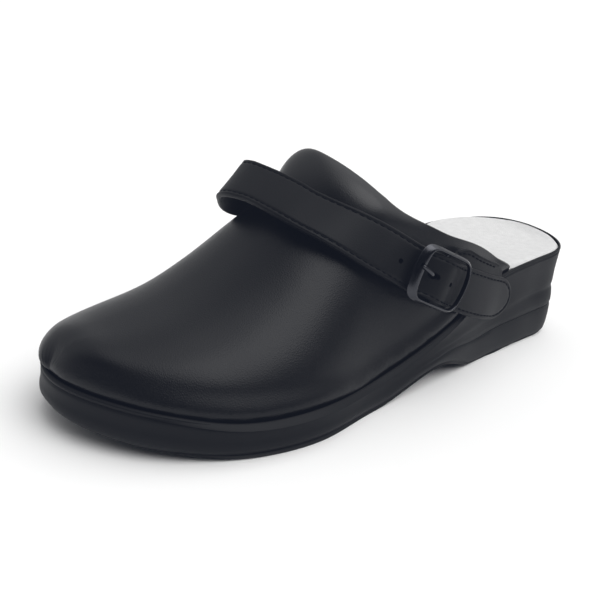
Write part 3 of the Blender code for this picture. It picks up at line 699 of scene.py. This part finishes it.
# buckle frame with bowed bars and a crowned section, its dropped bar and the notch for the prong
def frameSpot(form, angle):
    end = "front" if math.cos(angle) > 0.0 else "rear"
    bow = form[end + "Bow"]
    reach = form[end] - bow
    along = abs(math.cos(angle)) / reach
    across = abs(math.sin(angle)) / form["halfWidth"]
    radius = (along ** form["power"] + across ** form["power"]) ** (-1.0 / form["power"])
    swell = 1.0 + bow / reach * (1.0 - (radius * across) ** 2)
    return Vector((radius * math.cos(angle) * swell, radius * math.sin(angle)))


def evenAngles(form, count, fineCount):
    # angles at even steps round the outline
    fine = [2.0 * math.pi * i / fineCount for i in range(fineCount + 1)]
    walked = [0.0]
    for a, b in zip(fine, fine[1:]):
        walked.append(walked[-1] + (frameSpot(form, b) - frameSpot(form, a)).length)
    angles = []
    i = 0
    for step in range(count):
        goal = walked[-1] * step / count
        while walked[i + 1] < goal:
            i += 1
        angles.append(fine[i] + (fine[i + 1] - fine[i]) * (goal - walked[i]) / (walked[i + 1] - walked[i]))
    return angles


def tube(name, points, sizes, roundness=5):
    line = bpy.data.curves.new(name, "CURVE")
    line.dimensions = "3D"
    line.bevel_depth = max(sizes) * mm
    line.bevel_resolution = roundness
    line.use_fill_caps = True
    run = line.splines.new("POLY")
    run.points.add(len(points) - 1)
    for knot, point, size in zip(run.points, points, sizes):
        knot.co = (*toRow(point), 1.0)
        knot.radius = size / max(sizes)
    piece = bpy.data.objects.new(name, line)
    bpy.context.scene.collection.objects.link(piece)
    pick(piece)
    bpy.ops.object.convert(target="MESH")
    return bpy.context.object


def buildFrame(spec):
    section = spec["section"]
    angles = evenAngles(spec["outer"], spec["steps"], spec["fineSteps"])
    rows = len(section)
    bpy.ops.object.select_all(action="DESELECT")
    bpy.ops.mesh.primitive_grid_add(x_subdivisions=len(angles), y_subdivisions=rows, size=2.0)
    piece = bpy.context.object
    piece.name = "buckleFrame"
    columns = len(angles) + 1
    for i in range(columns):
        angle = angles[i % len(angles)]
        far, near = frameSpot(spec["outer"], angle), frameSpot(spec["inner"], angle)
        for j in range(rows + 1):
            share, level = section[j % rows]
            spot = far + (near - far) * share
            piece.data.vertices[j * columns + i].co = toRow(onBuckle(spot.x, spot.y, spec["level"] + level))
    editAll(piece)
    bpy.ops.mesh.remove_doubles(threshold=weldSpec["grid"])
    bpy.ops.mesh.normals_make_consistent(inside=False)
    leaveEdit()
    applyStep(
        piece, "BEVEL", width=spec["edge"] * mm, segments=spec["edgeRows"],
        limit_method="ANGLE", angle_limit=math.radians(spec["edgeAngle"]),
    )
    notch = spec["notch"]
    turn = math.radians(notch["turn"])
    axis = buckleAlong * math.cos(turn) + buckleAcross * math.sin(turn)
    bpy.ops.mesh.primitive_cylinder_add(
        vertices=notch["sides"], radius=notch["radius"] * mm, depth=notch["length"] * mm,
    )
    cutter = bpy.context.object
    place = Matrix((buckleOut.cross(axis), buckleOut, axis)).transposed().to_4x4()
    place.translation = toRow(onBuckle(*notch["middle"]))
    cutter.data.transform(place)
    applyStep(piece, "BOOLEAN", operation="DIFFERENCE", solver="EXACT", object=cutter)
    bpy.data.objects.remove(cutter, do_unlink=True)
    legs = [(-reach, level, size) for reach, level, size in spec["bar"]]
    legs += [(reach, level, size) for reach, level, size in reversed(spec["bar"])]
    line = [onBuckle(spec["barAlong"], across, level) for across, level, size in legs]
    bar = tube("bar", line, [size for across, level, size in legs])
    pick(piece)
    bar.select_set(True)
    bpy.ops.object.join()
    return piece


buckle = buildFrame(buckleSpec)
smoothBy(buckle, buckleSpec["hardAngle"])
finishPiece(buckle, gunMetal, "buckle_metal", "buckle_frame")
print("buckle", len(buckle.data.polygons))

prongSpec = {"levels": 1, "hold": 0.9, "hardAngle": 60.0}
prong = fromNode("buckle_prong", "buckleProng")
roundOff(prong, prongSpec["levels"], prongSpec["hold"])
smoothBy(prong, prongSpec["hardAngle"])
finishPiece(prong, gunMetal, "prong_metal", "buckle_prong")

# chape: the folded tab with softened edges, its rolled edge and its stitch row
chapeSpec = {
    "edge": 0.35, "edgeRows": 3, "edgeAngle": 50.0, "hardAngle": 40.0, "inset": 2.2, "thick": 0.6,
    "fold": 0.55, "foldInset": 0.6, "foldLift": 0.45, "foldAngle": 60.0, "pathSteps": 8,
    # distance back from the bar, reach of the top edge over the strap's middle line, depth under the strap
    "rows": [
        (9.0, 15.2, 3.3), (12.0, 17.0, 2.8), (18.0, 18.0, 2.4), (26.0, 17.4, 2.1),
        (34.0, 17.0, 2.1), (42.0, 16.6, 2.1), (47.0, 16.0, 2.1),
    ],
    "bendFrom": 6.0, "bend": 0.012,
}
chape = fromNode("buckle_chape", "chapeTab")
applyStep(
    chape, "BEVEL", width=chapeSpec["edge"] * mm, segments=chapeSpec["edgeRows"],
    limit_method="ANGLE", angle_limit=math.radians(chapeSpec["edgeAngle"]),
)
smoothBy(chape, chapeSpec["hardAngle"])
finishPiece(chape, strapLeather, "chape_leather", "buckle_chape")


def chapePath(spec, inset, lift):
    path = []
    for i in range((len(spec["rows"]) - 1) * spec["pathSteps"] + 1):
        back, top, depth = throughRows(spec["rows"], i / spec["pathSteps"])
        middle, across, out, half = strapPlace(keyAlong(buckleSpec["barAlong"] - back))
        width = top - inset
        sink = depth + spec["bend"] * max(0.0, width - spec["bendFrom"]) ** 2 - lift
        path.append(middle + across * width - out * sink)
    return path


addStitches("chapeStitches", chapePath(chapeSpec, chapeSpec["inset"], chapeSpec["thick"]), "chape_leather")
edgePath = chapePath(chapeSpec, chapeSpec["foldInset"], chapeSpec["foldLift"])
chapeFold = tube("chapeFold", edgePath, [chapeSpec["fold"]] * len(edgePath))
smoothBy(chapeFold, chapeSpec["foldAngle"])
finishPiece(chapeFold, strapLeather, "chape_leather")
print("chape", len(chape.data.polygons))


# camera at the photograph's angle, rolled with it
cameraSpec = {
    "azimuth": 50.23, "elevation": 23.09, "roll": 5.5, "distance": 420.0,
    "target": (132.55, -34.96, 16.09), "lens": 49.53, "sensor": 36.0, "nearest": 0.01,
}


def addCamera(spec):
    turn = math.radians(spec["azimuth"])
    rise = math.radians(spec["elevation"])
    roll = math.radians(spec["roll"])
    back = Vector((math.cos(rise) * math.cos(turn), math.cos(rise) * math.sin(turn), math.sin(rise)))
    right = Vector((-math.sin(turn), math.cos(turn), 0.0))
    up = back.cross(right)
    rolledRight = right * math.cos(roll) + up * math.sin(roll)
    rolledUp = up * math.cos(roll) - right * math.sin(roll)
    bpy.ops.object.camera_add()
    camera = bpy.context.object
    camera.name = "camera"
    place = Matrix((rolledRight, rolledUp, back)).transposed().to_4x4()
    place.translation = toRow(Vector(spec["target"]) + back * spec["distance"])
    camera.matrix_world = place
    camera.data.lens = spec["lens"]
    camera.data.sensor_width = spec["sensor"]
    camera.data.clip_start = spec["nearest"]
    camera.data.dof.use_dof = False
    bpy.context.scene.camera = camera


addCamera(cameraSpec)

# pale floor and soft studio light: a wide softbox overhead, paler panels behind the shoe and beyond its toe,
# and one lamp at the outer side
studioSpec = {
    "floorSize": 60.0, "floorTone": (0.92, 0.92, 0.92), "floorRough": 0.85, "floorSpecular": 0.1,
    "strayLight": (0.0062, 0.0078, 0.0128), "room": 0.02, "lampDistance": 2.0,
    "panels": [
        {"turn": 146.0, "rise": 64.0, "full": 28.0, "gone": 56.0, "bright": 1.75},
        {"turn": 225.0, "rise": 14.0, "full": 30.0, "gone": 85.0, "bright": 0.64},
        {"turn": 297.0, "rise": 42.0, "full": 16.0, "gone": 56.0, "bright": 0.75},
    ],
    "lights": [
        {"name": "sideSoftbox", "turn": 104.0, "rise": 54.0, "spread": 50.0, "power": 1.0},
    ],
}


def wayTo(row):
    turn, rise = math.radians(row["turn"]), math.radians(row["rise"])
    return Vector((math.cos(rise) * math.cos(turn), math.cos(rise) * math.sin(turn), math.sin(rise)))


def addStudio(spec):
    bpy.ops.object.select_all(action="DESELECT")
    bpy.ops.mesh.primitive_plane_add(size=spec["floorSize"], location=(0.0, 0.0, 0.0))
    floor = bpy.context.object
    floor.name = "floor"
    paint = bpy.data.materials.new("paleFloor")
    paint.use_nodes = True
    shader = paint.node_tree.nodes["Principled BSDF"]
    shader.inputs["Base Color"].default_value = (*spec["floorTone"], 1.0)
    shader.inputs["Roughness"].default_value = spec["floorRough"]
    shader.inputs["Specular IOR Level"].default_value = spec["floorSpecular"]
    floor.data.materials.append(paint)
    # the world is the bright panels in a dark room
    world = bpy.data.worlds.new("studio")
    world.use_nodes = True
    tree = world.node_tree
    way = newNode(tree, "ShaderNodeTexCoord", (-900, 0))
    total = None
    for slot, row in enumerate(spec["panels"]):
        facing = newNode(tree, "ShaderNodeVectorMath", (-650, -250 * slot), operation="DOT_PRODUCT")
        facing.inputs[1].default_value = wayTo(row)
        level = newNode(tree, "ShaderNodeMapRange", (-420, -250 * slot), interpolation_type="SMOOTHSTEP")
        level.inputs["From Min"].default_value = math.cos(math.radians(row["gone"]))
        level.inputs["From Max"].default_value = math.cos(math.radians(row["full"]))
        level.inputs["To Min"].default_value = spec["room"]
        level.inputs["To Max"].default_value = row["bright"]
        tree.links.new(way.outputs["Generated"], facing.inputs[0])
        tree.links.new(facing.outputs["Value"], level.inputs["Value"])
        brightest = newNode(tree, "ShaderNodeMath", (-200, -250 * slot), {1: 0.0}, operation="MAXIMUM")
        tree.links.new(level.outputs["Result"], brightest.inputs[0])
        if total:
            tree.links.new(total.outputs["Value"], brightest.inputs[1])
        total = brightest
    tree.links.new(total.outputs["Value"], tree.nodes["Background"].inputs["Strength"])
    tree.nodes["Background"].inputs["Color"].default_value = (1.0, 1.0, 1.0, 1.0)
    bpy.context.scene.world = world
    # the photograph's blacks are lifted and a little blue, as with stray light in the lens
    view = bpy.context.scene.view_settings
    view.view_transform = "Standard"
    view.use_curve_mapping = True
    view.curve_mapping.black_level = [-level for level in spec["strayLight"]]
    view.curve_mapping.update()
    for row in spec["lights"]:
        toLamp = wayTo(row)
        bpy.ops.object.light_add(type="SUN", location=toLamp * spec["lampDistance"])
        lamp = bpy.context.object
        lamp.name = row["name"]
        lamp.data.angle = math.radians(row["spread"])
        lamp.data.energy = row["power"]
        lamp.rotation_euler = (-toLamp).to_track_quat("-Z", "Y").to_euler()


addStudio(studioSpec)
print("camera, floor and lights set")
